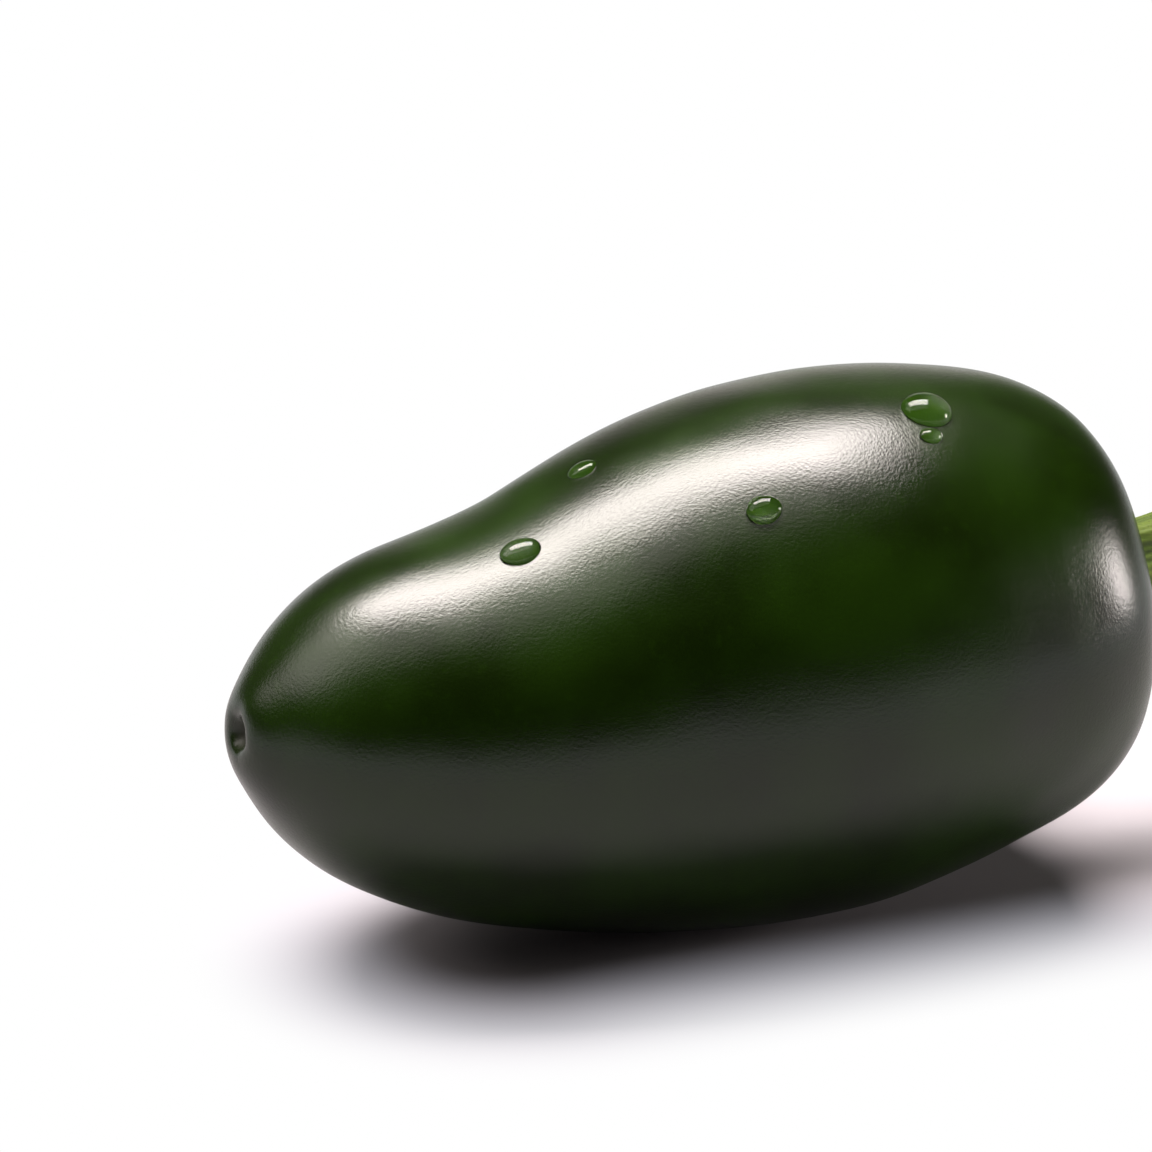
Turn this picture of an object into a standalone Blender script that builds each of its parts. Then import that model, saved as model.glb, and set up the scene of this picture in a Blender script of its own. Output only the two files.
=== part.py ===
"""A jalapeno chilli pepper that lies on a flat surface, with drops of water on its skin.

The finished meshes are in metres and +Z is up. X runs along the pod, from the blossom tip to the stem's cut end.
The pod's resting patch lies in z = 0, and the whole object's box is centred on the Z axis.

Sizes below are in millimetres. A place on the pepper is worked out in the pod's own terms: the distance from the
tip along the pod's axis, the radius out from that axis, and the angle around it, which is 0 towards +Y and 90
degrees at the top.
"""

import math

import bmesh
import bpy
import numpy as np
from mathutils import Vector

MM = 0.001

# Pod: (distance from the tip, radius) down the skin, from the bottom of the blossom pit to the stem's hollow
POD_OUTLINE = (
    (1.0, 0.0),
    (0.6, 0.8),
    (0.05, 1.5),
    (0.0, 2.1),
    (0.35, 3.2),
    (1.3, 4.75),
    (3.6, 7.8),
    (8.0, 11.5),
    (15.0, 14.5),
    (24.0, 17.1),
    (34.0, 19.7),
    (44.0, 21.2),
    (53.0, 20.8),
    (60.0, 19.55),
    (65.6, 17.9),
    (70.25, 14.6),
    (71.85, 9.35),
    (70.6, 6.0),
    (69.3, 3.2),
    (69.0, 0.0),
)
# (distance from the tip, sideways, height of the axis): the tip bends aside, and the pod sags behind it and rises
POD_AXIS = (
    (0.0, -1.4, 20.0),
    (12.0, -0.3, 18.6),
    (24.0, 0.0, 17.8),
    (40.0, 0.0, 19.75),
    (56.0, 0.0, 21.7),
    (72.0, 0.0, 22.9),
)
AXIS_STEPS = 40
POD_LENGTH = 72.0
POD_STEPS = 3  # rings between two points of the outline
POD_SIDES = 64
LOBES = 3
LOBE_HEIGHT = 0.35  # at the stem end and full radius, fading to nothing at the tip
LOBE_ANGLE = 90.0
FULL_RADIUS = 21.0
PATCH_DEPTH = 0.3  # how far the pod's weight flattens its underside

# Calyx: a wavy cap in the pod's hollow
GAP = 0.3  # between touching pieces
CALYX_RADIUS = 7.4
CALYX_WAVE = 0.8
CALYX_POINTS = 5
CALYX_EDGE = 0.5
CALYX_CROWN = 2.2
CALYX_RINGS = 6
CALYX_SIDES = 50

# Stem: its route as (distance from the tip, sideways, above the pod's axis), then (share of length, radius)
STEM_ROUTE = ((72.1, 0.0, 0.0), (76.5, 0.2, 0.3), (82.0, 1.2, 0.9), (88.0, 3.0, 1.2), (93.0, 5.2, 1.0))
STEM_OUTLINE = ((0.0, 4.6), (0.12, 4.0), (0.3, 3.3), (0.6, 2.9), (0.85, 3.0), (1.0, 3.5))
STEM_RIDGES = 5
STEM_RIDGE_HEIGHT = 0.22
STEM_RINGS = 16
STEM_SIDES = 30

# Water drops: name, distance from the tip, angle around the axis, length, width, height
DROPS = (
    ("drop_tip", 20.0, 110.4, 3.2, 2.4, 0.75),
    ("drop_waist", 30.1, 91.6, 2.4, 1.9, 0.5),
    ("drop_middle", 39.9, 127.0, 2.75, 2.2, 0.8),
    ("drop_shoulder", 55.1, 110.9, 4.1, 3.6, 1.15),
    ("drop_shoulder_small", 54.1, 118.8, 2.0, 1.3, 0.5),
)
DROP_RINGS = 5
DROP_SIDES = 20


def clear_scene():
    for item in list(bpy.data.objects):
        bpy.data.objects.remove(item, do_unlink=True)


def make_material(name, colour, roughness):
    material = bpy.data.materials.new(name)
    material.use_nodes = True
    shader = material.node_tree.nodes["Principled BSDF"]
    shader.inputs["Base Color"].default_value = (*colour, 1.0)
    shader.inputs["Roughness"].default_value = roughness
    shader.inputs["Metallic"].default_value = 0.0
    return material


def skin_material():
    return make_material("green_skin", (0.012, 0.045, 0.004), 0.2)


def calyx_material():
    return make_material("calyx_green", (0.11, 0.2, 0.03), 0.5)


def stem_material():
    return make_material("stem_green", (0.2, 0.3, 0.06), 0.55)


def water_material():
    return make_material("water", (0.95, 0.98, 0.96), 0.03)


def smooth_curve(points, steps, leave=None, arrive=None):
    """The cubic spline through the points, with equal steps between neighbours.

    leave and arrive are the directions at its ends. Without them an end runs out straight.
    """
    points = np.array(points, float)
    chords = np.linalg.norm(np.diff(points, axis=0), axis=1)
    count = len(points)
    system = np.zeros((count, count))
    pull = np.zeros_like(points)
    for i in range(1, count - 1):
        near, far = chords[i - 1], chords[i]
        system[i, i - 1 : i + 2] = (far, 2 * (near + far), near)
        pull[i] = 3 * (far * (points[i] - points[i - 1]) / near + near * (points[i + 1] - points[i]) / far)
    for end, neighbour, direction, chord in ((0, 1, leave, chords[0]), (-1, -2, arrive, chords[-1])):
        if direction is None:
            system[end, end] = 2.0
            system[end, neighbour] = 1.0
            pull[end] = 3 * (points[max(end, neighbour)] - points[min(end, neighbour)]) / chord
        else:
            system[end, end] = 1.0
            pull[end] = direction
    tangents = np.linalg.solve(system, pull)
    out = []
    for i, chord in enumerate(chords):
        for k in range(steps):
            t = k / steps
            out.append(
                (2 * t**3 - 3 * t**2 + 1) * points[i]
                + (t**3 - 2 * t**2 + t) * chord * tangents[i]
                + (3 * t**2 - 2 * t**3) * points[i + 1]
                + (t**3 - t**2) * chord * tangents[i + 1]
            )
    out.append(points[-1])
    return np.array(out)


def pod_outline(steps=POD_STEPS):
    return smooth_curve(POD_OUTLINE, steps, leave=(0.0, 1.0), arrive=(0.0, -1.0))


AXIS_CURVE = smooth_curve(POD_AXIS, AXIS_STEPS)
AXIS_SLOPE = np.gradient(AXIS_CURVE[:, 1:], AXIS_CURVE[:, 0], axis=0)


def axis_at(along):
    """The axis at a distance from the tip: its sideways place, its height, and the slope of each."""
    columns = (AXIS_CURVE[:, 1], AXIS_CURVE[:, 2], AXIS_SLOPE[:, 0], AXIS_SLOPE[:, 1])
    return tuple(float(np.interp(along, AXIS_CURVE[:, 0], column)) for column in columns)


def lobe_factor(along, angle):
    strength = LOBE_HEIGHT / FULL_RADIUS * (max(along, 0.0) / POD_LENGTH) ** 2
    return 1.0 + strength * math.cos(LOBES * (angle - math.radians(LOBE_ANGLE)))


def pod_place(along, radius, angle):
    """The point at a distance along the pod, a radius from its axis and an angle around it."""
    aside, height, swing, rise = axis_at(along)
    turn = math.hypot(1.0, swing)
    lean = math.hypot(turn, rise)
    reach = radius * lobe_factor(along, angle)
    out = reach * math.cos(angle)
    up = reach * math.sin(angle)
    x = along - out * swing / turn - up * rise / (lean * turn)
    y = aside + out / turn - up * rise * swing / (lean * turn)
    z = height + up * turn / lean
    return Vector((x, y, z))


def rings_to_mesh(name, rings, first=None, last=None):
    """A closed body through rings of equal length. Each end closes on a point or, without one, with a face."""
    mesh = bmesh.new()
    rows = [[mesh.verts.new(place * MM) for place in ring] for ring in rings]
    count = len(rows[0])
    for row, following in zip(rows, rows[1:]):
        for k in range(count):
            after = (k + 1) % count
            mesh.faces.new((row[k], row[after], following[after], following[k]))
    for row, tip in ((rows[0], first), (rows[-1], last)):
        if tip is None:
            mesh.faces.new(row)
            continue
        centre = mesh.verts.new(tip * MM)
        for k in range(count):
            mesh.faces.new((row[k], row[(k + 1) % count], centre))
    bmesh.ops.recalc_face_normals(mesh, faces=mesh.faces[:])
    data = bpy.data.meshes.new(name)
    mesh.to_mesh(data)
    mesh.free()
    return data


def add_piece(name, data, material):
    data.materials.append(material)
    data.shade_smooth()
    piece = bpy.data.objects.new(name, data)
    bpy.context.scene.collection.objects.link(piece)
    return piece


def angles(count, offset=0.0):
    return [2 * math.pi * (k + offset) / count for k in range(count)]


def pod_underside():
    """The height of the pod's lowest skin before its weight flattens it."""
    outline = pod_outline()
    return min(pod_place(along, radius, -math.pi / 2).z for along, radius in outline)


def build_pod(material):
    outline = pod_outline()
    floor = pod_underside() + PATCH_DEPTH
    rings = []
    for along, radius in outline[1:-1]:
        ring = [pod_place(along, radius, angle) for angle in angles(POD_SIDES, 0.5)]
        for place in ring:
            place.z = max(place.z, floor)
        rings.append(ring)
    pit = pod_place(*outline[0], 0.0)
    hollow = pod_place(*outline[-1], 0.0)
    data = rings_to_mesh("pod", rings, pit, hollow)
    return add_piece("pod", data, material)


def hollow_depth(radius):
    """Distance from the tip to the skin of the stem's hollow at a radius."""
    outline = pod_outline()
    rim = int(np.argmax(outline[:, 0]))
    skin = outline[rim:][::-1]
    return float(np.interp(radius, skin[:, 1], skin[:, 0]))


def calyx_edge(angle):
    return CALYX_RADIUS + CALYX_WAVE * math.cos(CALYX_POINTS * angle)


def build_calyx(material):
    rings = []
    shares = [(k + 1) / CALYX_RINGS for k in range(CALYX_RINGS)]
    for share in shares:
        ring = []
        for angle in angles(CALYX_SIDES):
            radius = calyx_edge(angle) * share
            ring.append(pod_place(hollow_depth(radius) + GAP, radius, angle))
        rings.append(ring)
    for share in reversed(shares):
        thickness = CALYX_EDGE + (CALYX_CROWN - CALYX_EDGE) * (1 - share**2)
        ring = []
        for angle in angles(CALYX_SIDES):
            radius = calyx_edge(angle) * share
            ring.append(pod_place(hollow_depth(radius) + GAP + thickness, radius, angle))
        rings.append(ring)
    base = hollow_depth(0.0) + GAP
    data = rings_to_mesh("calyx", rings, pod_place(base, 0.0, 0.0), pod_place(base + CALYX_CROWN, 0.0, 0.0))
    return add_piece("calyx", data, material)


def stem_centre(route, share):
    position = share * (len(route) - 1)
    index = min(int(position), len(route) - 2)
    blend = position - index
    along, aside, above = route[index] * (1 - blend) + route[index + 1] * blend
    over = max(along - POD_LENGTH, 0.0)
    axis_aside, height, swing, rise = axis_at(min(along, POD_LENGTH))
    return Vector((along, axis_aside + over * swing + aside, height + over * rise + above))


def build_stem(material):
    route = smooth_curve(STEM_ROUTE, 8)
    outline = smooth_curve(STEM_OUTLINE, 8)
    rings = []
    for k in range(STEM_RINGS):
        share = k / (STEM_RINGS - 1)
        centre = stem_centre(route, share)
        ahead = stem_centre(route, min(share + 0.02, 1.0)) - stem_centre(route, max(share - 0.02, 0.0))
        ahead.normalize()
        side = ahead.cross(Vector((0.0, 0.0, 1.0))).normalized()
        over = side.cross(ahead)
        radius = float(np.interp(share, outline[:, 0], outline[:, 1]))
        ring = []
        for angle in angles(STEM_SIDES):
            reach = radius + STEM_RIDGE_HEIGHT * math.cos(STEM_RIDGES * angle)
            ring.append(centre + side * reach * math.cos(angle) + over * reach * math.sin(angle))
        rings.append(ring)
    data = rings_to_mesh("stem", rings)
    return add_piece("stem", data, material)


def skin_frame(along, angle):
    """A point of the skin with its outward direction, the direction along the pod and the one around it."""
    outline = pod_outline(POD_STEPS * 4)
    skin = outline[int(np.argmin(outline[:, 0])) : int(np.argmax(outline[:, 0])) + 1]

    def at(distance, turn):
        return pod_place(distance, float(np.interp(distance, skin[:, 0], skin[:, 1])), turn)

    place = at(along, angle)
    length_way = (at(along + 0.5, angle) - at(along - 0.5, angle)).normalized()
    round_way = (at(along, angle + 0.02) - at(along, angle - 0.02)).normalized()
    outward = round_way.cross(length_way).normalized()
    if outward.z < 0:
        outward.negate()
    return place, outward, length_way, round_way


def build_drop(name, along, degrees, length, width, height, material):
    place, outward, length_way, round_way = skin_frame(along, math.radians(degrees))
    centre = place + outward * GAP
    rings = []
    for k in range(DROP_RINGS):
        lift = math.pi / 2 * k / DROP_RINGS
        ring = []
        for angle in angles(DROP_SIDES):
            spread = length_way * math.cos(angle) * length / 2 + round_way * math.sin(angle) * width / 2
            ring.append(centre + spread * math.cos(lift) + outward * height * math.sin(lift))
        rings.append(ring)
    data = rings_to_mesh(name, rings, None, centre + outward * height)
    return add_piece(name, data, material)


def stand_on_origin(pieces):
    """Moves the meshes so that the whole box is centred over the origin, with its lowest face at z = 0."""
    places = np.array([vertex.co for piece in pieces for vertex in piece.data.vertices])
    low = places.min(axis=0)
    high = places.max(axis=0)
    shift = Vector((-(low[0] + high[0]) / 2, -(low[1] + high[1]) / 2, -low[2]))
    for piece in pieces:
        for vertex in piece.data.vertices:
            vertex.co += shift


def main():
    clear_scene()
    pieces = [
        build_pod(skin_material()),
        build_calyx(calyx_material()),
        build_stem(stem_material()),
    ]
    water = water_material()
    for drop in DROPS:
        pieces.append(build_drop(*drop, water))
    stand_on_origin(pieces)


main()
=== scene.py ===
import math

import bmesh
import bpy
import numpy as np
from bpy.props import FloatProperty, FloatVectorProperty, IntProperty, PointerProperty
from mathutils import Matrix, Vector, noise


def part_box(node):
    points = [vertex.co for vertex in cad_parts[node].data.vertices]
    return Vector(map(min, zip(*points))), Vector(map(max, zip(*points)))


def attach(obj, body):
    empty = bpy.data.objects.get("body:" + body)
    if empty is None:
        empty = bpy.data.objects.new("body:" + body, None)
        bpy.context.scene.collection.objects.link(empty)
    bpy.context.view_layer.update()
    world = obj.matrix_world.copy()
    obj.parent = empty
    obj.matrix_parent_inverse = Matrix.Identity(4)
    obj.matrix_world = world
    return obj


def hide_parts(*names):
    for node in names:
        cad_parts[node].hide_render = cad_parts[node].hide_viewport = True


bl_info = {
    "name": "Jalapeno Pepper",
    "version": (1, 0, 0),
    "blender": (4, 5, 0),
    "location": "3D View > Sidebar > Pepper",
    "description": "Builds the skin, calyx, stem and water drops of a jalapeno pepper on its packed frame",
    "category": "Add Mesh",
}

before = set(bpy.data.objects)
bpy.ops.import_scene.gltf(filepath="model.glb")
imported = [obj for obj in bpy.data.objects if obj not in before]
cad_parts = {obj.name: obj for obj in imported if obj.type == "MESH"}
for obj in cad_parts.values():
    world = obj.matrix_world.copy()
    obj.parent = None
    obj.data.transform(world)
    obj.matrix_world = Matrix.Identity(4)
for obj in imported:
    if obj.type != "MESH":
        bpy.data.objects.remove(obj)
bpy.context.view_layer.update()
BODY = "root"
MM = 0.001

# The pod's design, in millimetres: (distance from the tip, radius) down its skin
POD_OUTLINE = (
    (1.0, 0.0),
    (0.6, 0.8),
    (0.05, 1.5),
    (0.0, 2.1),
    (0.35, 3.2),
    (1.3, 4.75),
    (3.6, 7.8),
    (8.0, 11.5),
    (15.0, 14.5),
    (24.0, 17.1),
    (34.0, 19.7),
    (44.0, 21.2),
    (53.0, 20.8),
    (60.0, 19.55),
    (65.6, 17.9),
    (70.25, 14.6),
    (71.85, 9.35),
    (70.6, 6.0),
    (69.3, 3.2),
    (69.0, 0.0),
)
# (distance from the tip, sideways, height of the axis)
POD_AXIS = (
    (0.0, -1.4, 20.0),
    (12.0, -0.3, 18.6),
    (24.0, 0.0, 17.8),
    (40.0, 0.0, 19.75),
    (56.0, 0.0, 21.7),
    (72.0, 0.0, 22.9),
)
POD_LENGTH = 72.0
POD_RADIUS = 21.0
LOBES = 3
LOBE_HEIGHT = 0.35
LOBE_ANGLE = math.radians(90.0)
PATCH_DEPTH = 0.3
PATCH_SOFTNESS = 0.06

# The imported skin's steps between two points of its outline and points around, then the steps for measuring
CAD_STEPS = 3
CAD_SIDES = 64
MEASURE_STEPS = 12
MEASURE_ALONG = 0.5
MEASURE_TURN = 0.02

# Waves around a piece are (how many, height, turn). A rise or fade is the two radii it runs between.
PUCKER_WAVES = ((7, 0.01, 0.8), (3, 0.03, 2.0))
PUCKER_RISE = (0.3, 1.2)
PUCKER_FADE = (1.6, 4.2)
SCAR_FADE = (0.5, 1.5)
FOLD_DEPTH = 0.35
FOLD_RISE = (3.5, 7.5)
FOLD_FADE = (9.0, 15.5)
FOLD_HOLLOW_RISE = (3.0, 8.0)
SWELL_RISE = (1.5, 6.0)
# The second layer of swells: its height beside the first, how much finer it is and where it starts
SWELL_SHARE = 0.4
SWELL_FINENESS = 2.3
SWELL_START = Vector((7.0, 3.0, 1.0))

# The calyx: its rim draws back by the dip between two points, and its lip bulges in two rings. The paleness
# is the underside's and the lip's.
CALYX_POINTS = 5
CALYX_SIDES = 240
CALYX_RINGS = 34
CALYX_CENTRE = 0.04
CALYX_DIP = 0.35
CALYX_UNEVENNESS = 0.25
CALYX_RIM_WAVES = ((11, 0.12, 1.3), (17, 0.08, 0.0))
CALYX_LIP = 1.012
CALYX_LIP_LIFTS = (0.1, 0.25)
CALYX_SUNK = 0.05
CALYX_EDGE = 0.4
CALYX_RIB = 0.22
CALYX_VEINS = (25, 0.04, 0.5)
CALYX_PALENESS = (0.3, 0.9)

# The stem's route as (distance from the tip, sideways, above the pod's axis), then (share of length, radius)
STEM_ROUTE = ((72.1, 0.0, 0.0), (76.5, 0.2, 0.3), (82.0, 1.2, 0.9), (88.0, 3.0, 1.2), (93.0, 5.2, 1.0))
STEM_OUTLINE = ((0.0, 4.6), (0.12, 4.0), (0.3, 3.3), (0.6, 2.9), (0.85, 3.0), (1.0, 3.5))
STEM_RIDGES = 5
# Grooves and lumps are (how many, height); the grooves bend and the lumps turn along the stem
STEM_TWIST = 0.35
STEM_CREST_POWER = 0.8
STEM_GROOVES = (31, 0.05)
STEM_GROOVE_WANDER = (5, 2.5)
STEM_LUMPS = (3, 0.06, 9)
# The cut end as (share of the radius, depth), from its crisp rim to the pith; the depth of its middle; its
# waves, with how far they turn; and the share outside which it is bark, with the cut colour's part there
STEM_CUT = ((0.97, -0.12), (0.93, -0.14), (0.8, -0.02), (0.66, 0.04), (0.5, 0.0), (0.34, 0.1), (0.2, 0.3))
STEM_CUT_MIDDLE = 0.35
STEM_CUT_WAVES = ((4, 0.06, 9), (13, 0.03, 0))
STEM_BARK = 0.95
STEM_BARK_CUT = 0.6

# CAD node, distance from the tip, angle around the pod, length, width, height, sag towards the ground
DROPS = (
    ("drop_tip", 20.0, 110.4, 3.2, 2.4, 0.75, 0.03),
    ("drop_waist", 30.1, 91.6, 2.4, 1.9, 0.5, 0.02),
    ("drop_middle", 39.9, 127.0, 2.75, 2.2, 0.8, 0.05),
    ("drop_shoulder", 55.1, 110.9, 4.1, 3.6, 1.15, 0.03),
    ("drop_shoulder_small", 54.1, 118.8, 2.0, 1.3, 0.5, 0.04),
)
DROP_SIDES = 72
DROP_RINGS = 26
DROP_LAST_RING = 0.97
DROP_ROUNDNESS = 2.05
# Where the foot's two rings stand as shares of the lowest one, and how high up a drop its sag turns over
DROP_FOOT = (0.5, 0.98)
DROP_SAG_TURN = 0.6

# How bright the specks are beside their green, the ridges' share of the pale green, the coarse ripple's scale
# beside the fine one's, the scar's roughness, and the gloss of dry skin and of skin under water
SKIN_SPECK = 1.7
FIBRE_SPECK = 0.45
RIDGE_SHARE = 0.6
COARSE_RIPPLE = 0.28
SCAR_ROUGHNESS = 0.6
DRY_GLOSS = 0.5
WET_GLOSS = 0.05

# Distances in metres over which the surface turns white: near the pod, where for the camera this paints how
# far the pod's shade reaches, and from the frame's middle
NEAR_FADE = (0.007, 0.027)
FAR_FADE = (0.08, 0.2)
FLOOR_HALF = 2.0
# painted shade: the bluish tint of the glow where it fades into the pod's shade
SHADE_TINT = (0.9, 0.89, 1.0)
WHITE = (1.0, 1.0, 1.0)

# The room fades with a direction's share towards the back or upwards, and a window shows only on its own side
WALL_BACK = (0.1, 0.6)
WALL_TOP = (0.3, 0.75)
HAZE_TOP = (0.0, 0.2)
HAZE_GLOW = 0.32
WINDOW_SIGHT = 0.3

# Soft windows of light. Each has its lean from straight up towards the stem and away from the camera, half
# its width and half its height, its turn and the softness of its edge, all in degrees, then its brightness.
WINDOWS = (
    ("overhead softbox", 0.5, 16.5, 24.5, 11.8, -14.0, 2.5, 24.5),
    ("left wing", -42.0, 14.0, 15.0, 18.0, 0.0, 8.0, 2.6),
    ("front fill", -8.0, -8.0, 24.0, 8.0, 0.0, 8.0, 1.6),
    ("back wing", -20.0, 42.0, 9.0, 6.0, 0.0, 5.0, 1.0),
    ("stem side light", 80.5, -20.5, 8.5, 4.6, 0.0, 3.5, 28.0),
    ("wall", 36.0, 78.0, 20.0, 11.0, 0.0, 8.0, 0.55),
)
WINDOW_COLOUR = (1.0, 0.915, 0.88)


# ---- settings


class PodSettings(bpy.types.PropertyGroup):
    rings: IntProperty(
        name="Rings per step",
        description="Rings of the skin between two points of its outline",
        default=16,
        min=2,
    )
    sides: IntProperty(name="Sides", description="Points around the pod", default=288, min=16)
    swell: FloatProperty(
        name="Swell", description="Height of the slow swells and dips", default=0.00022, unit="LENGTH"
    )
    swell_size: FloatProperty(
        name="Swell size", description="Distance from one swell to the next", default=0.014, unit="LENGTH"
    )
    deep_green: FloatVectorProperty(
        name="Deep green",
        description="The skin's darker green",
        default=(0.0036, 0.0092, 0.0001),
        subtype="COLOR",
    )
    leaf_green: FloatVectorProperty(
        name="Leaf green",
        description="The skin's lighter green",
        default=(0.0092, 0.028, 0.0002),
        subtype="COLOR",
    )
    # painted light: a lighter green put under each drop, standing in for the light that the water focuses
    # onto the skin
    painted_drop_light: FloatVectorProperty(
        name="Painted drop light",
        description="The skin seen through a drop",
        default=(0.02, 0.055, 0.004),
        subtype="COLOR",
    )
    scar: FloatVectorProperty(
        name="Scar",
        description="The dull dry blossom scar in the tip",
        default=(0.016, 0.019, 0.006),
        subtype="COLOR",
    )
    ripple: FloatProperty(
        name="Ripple", description="Height of the fine ripple in the skin", default=0.000026, unit="LENGTH"
    )


class CalyxSettings(bpy.types.PropertyGroup):
    radius: FloatProperty(name="Radius", description="Radius of the cap", default=0.0074, unit="LENGTH")
    point: FloatProperty(
        name="Point", description="Reach of each point of the rim", default=0.0009, unit="LENGTH"
    )
    crown: FloatProperty(name="Crown", description="Thickness at the stem", default=0.0023, unit="LENGTH")
    green: FloatVectorProperty(
        name="Green", description="Colour of the cap", default=(0.09, 0.16, 0.02), subtype="COLOR"
    )
    pale: FloatVectorProperty(
        name="Pale green",
        description="Colour of the cap's ribs and rim",
        default=(0.2, 0.27, 0.06),
        subtype="COLOR",
    )


class StemSettings(bpy.types.PropertyGroup):
    rings: IntProperty(name="Rings", description="Rings along the stem", default=120, min=8)
    sides: IntProperty(name="Sides", description="Points around the stem", default=150, min=15)
    ridge: FloatProperty(
        name="Ridge", description="Height of the five ridges", default=0.00026, unit="LENGTH"
    )
    green: FloatVectorProperty(
        name="Green", description="Colour between the ridges", default=(0.04, 0.075, 0.006), subtype="COLOR"
    )
    pale: FloatVectorProperty(
        name="Pale green",
        description="Colour of the ridges and fibres",
        default=(0.13, 0.185, 0.022),
        subtype="COLOR",
    )
    cut: FloatVectorProperty(
        name="Cut", description="Colour of the dry cut end", default=(0.36, 0.3, 0.14), subtype="COLOR"
    )


class WaterSettings(bpy.types.PropertyGroup):
    sunk: FloatProperty(
        name="Sunk",
        description="How far a drop's foot reaches into the skin",
        default=0.00012,
        unit="LENGTH",
    )
    refraction: FloatProperty(name="Refraction", description="Refractive index of water", default=1.333)


class StageSettings(bpy.types.PropertyGroup):
    azimuth: FloatProperty(
        name="Azimuth",
        description="Camera's turn round the pepper",
        default=math.radians(-22.0),
        subtype="ANGLE",
    )
    elevation: FloatProperty(
        name="Elevation",
        description="Camera's height over the surface",
        default=math.radians(18.0),
        subtype="ANGLE",
    )
    distance: FloatProperty(
        name="Distance",
        description="From the camera to the point it looks at",
        default=0.2445,
        unit="LENGTH",
    )
    lens: FloatProperty(name="Lens", description="Focal length", default=100.0, unit="CAMERA")
    aim: FloatVectorProperty(
        name="Aim",
        description="The point looked at, as shares of the pod's box",
        default=(0.3826, 0.5001, 0.6768),
    )
    key: FloatProperty(name="Key", description="Brightness of all the soft windows", default=1.0)
    backdrop: FloatProperty(
        name="Backdrop", description="Brightness of the wall behind the pepper", default=0.06
    )
    dimness: FloatProperty(name="Dim room", description="Brightness of the room in front", default=0.004)
    table_glow: FloatProperty(
        name="Table glow", description="Brightness of the far table in reflections", default=0.76
    )
    shade_middle: FloatProperty(
        name="Shade middle",
        description="Middle of the pod's soft shade on the surface",
        default=0.004,
        unit="LENGTH",
    )
    shade_length: FloatProperty(
        name="Shade length", description="Length of the pod's soft shade", default=0.058, unit="LENGTH"
    )
    floor: FloatVectorProperty(
        name="Floor", description="Colour of the surface", default=(0.44, 0.42, 0.45), subtype="COLOR"
    )
    floor_mirrored: FloatVectorProperty(
        name="Mirrored floor",
        description="Colour of the surface in the skin's reflections",
        default=(0.27, 0.27, 0.28),
        subtype="COLOR",
    )


# ---- curves and the pod's own places


def smooth_curve(points, steps, leave=None, arrive=None):
    """The cubic spline through the points, with equal steps between neighbours and stated end directions."""
    points = np.array(points, float)
    chords = np.linalg.norm(np.diff(points, axis=0), axis=1)
    count = len(points)
    system = np.zeros((count, count))
    pull = np.zeros_like(points)
    for i in range(1, count - 1):
        near, far = chords[i - 1], chords[i]
        system[i, i - 1 : i + 2] = (far, 2 * (near + far), near)
        pull[i] = 3 * (far * (points[i] - points[i - 1]) / near + near * (points[i + 1] - points[i]) / far)
    for end, neighbour, direction, chord in ((0, 1, leave, chords[0]), (-1, -2, arrive, chords[-1])):
        if direction is None:
            system[end, end] = 2.0
            system[end, neighbour] = 1.0
            pull[end] = 3 * (points[max(end, neighbour)] - points[min(end, neighbour)]) / chord
        else:
            system[end, end] = 1.0
            pull[end] = direction
    tangents = np.linalg.solve(system, pull)
    t = (np.arange(steps) / steps)[:, None]
    pieces = []
    for i, chord in enumerate(chords):
        pieces.append(
            (2 * t**3 - 3 * t**2 + 1) * points[i]
            + (t**3 - 2 * t**2 + t) * chord * tangents[i]
            + (3 * t**2 - 2 * t**3) * points[i + 1]
            + (t**3 - t**2) * chord * tangents[i + 1]
        )
    pieces.append(points[-1:])
    return np.vstack(pieces)


def smooth_step(low, high, value):
    t = np.clip((value - low) / (high - low), 0.0, 1.0)
    return t * t * (3 - 2 * t)


def peaks(angle, power):
    """One under each point of the calyx and nought halfway between two, sharper for a higher power."""
    return (0.5 + 0.5 * np.cos(CALYX_POINTS * angle)) ** power


def around(sides, start=0.0):
    """Angles of equal steps around a piece."""
    return (np.arange(sides) + start) * 2 * math.pi / sides


AXIS_CURVE = smooth_curve(POD_AXIS, 40)
AXIS_SLOPE = np.gradient(AXIS_CURVE[:, 1:], AXIS_CURVE[:, 0], axis=0)


def pod_outline(steps):
    return smooth_curve(POD_OUTLINE, steps, leave=(0.0, 1.0), arrive=(0.0, -1.0))


def axis_at(along):
    """The axis at a distance from the tip: its sideways place, its height, and the slope of each."""
    columns = (AXIS_CURVE[:, 1], AXIS_CURVE[:, 2], AXIS_SLOPE[:, 0], AXIS_SLOPE[:, 1])
    return [np.interp(along, AXIS_CURVE[:, 0], column) for column in columns]


def pod_places(along, radius, angle):
    """Points of the pod, in millimetres from its tip, for arrays of distance, radius and angle."""
    aside, height, swing, rise = axis_at(along)
    turn = np.hypot(1.0, swing)
    lean = np.hypot(turn, rise)
    share = np.clip(along / POD_LENGTH, 0.0, None) ** 2
    reach = radius * (1 + LOBE_HEIGHT / POD_RADIUS * share * np.cos(LOBES * (angle - LOBE_ANGLE)))
    out = reach * np.cos(angle)
    up = reach * np.sin(angle)
    x = along - out * swing / turn - up * rise / (lean * turn)
    y = aside + out / turn - up * rise * swing / (lean * turn)
    z = height + up * turn / lean
    return np.stack([x, y, z], axis=-1)


def underside():
    outline = pod_outline(CAD_STEPS)
    return pod_places(outline[:, 0], outline[:, 1], np.full(len(outline), -math.pi / 2))[:, 2].min()


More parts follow.
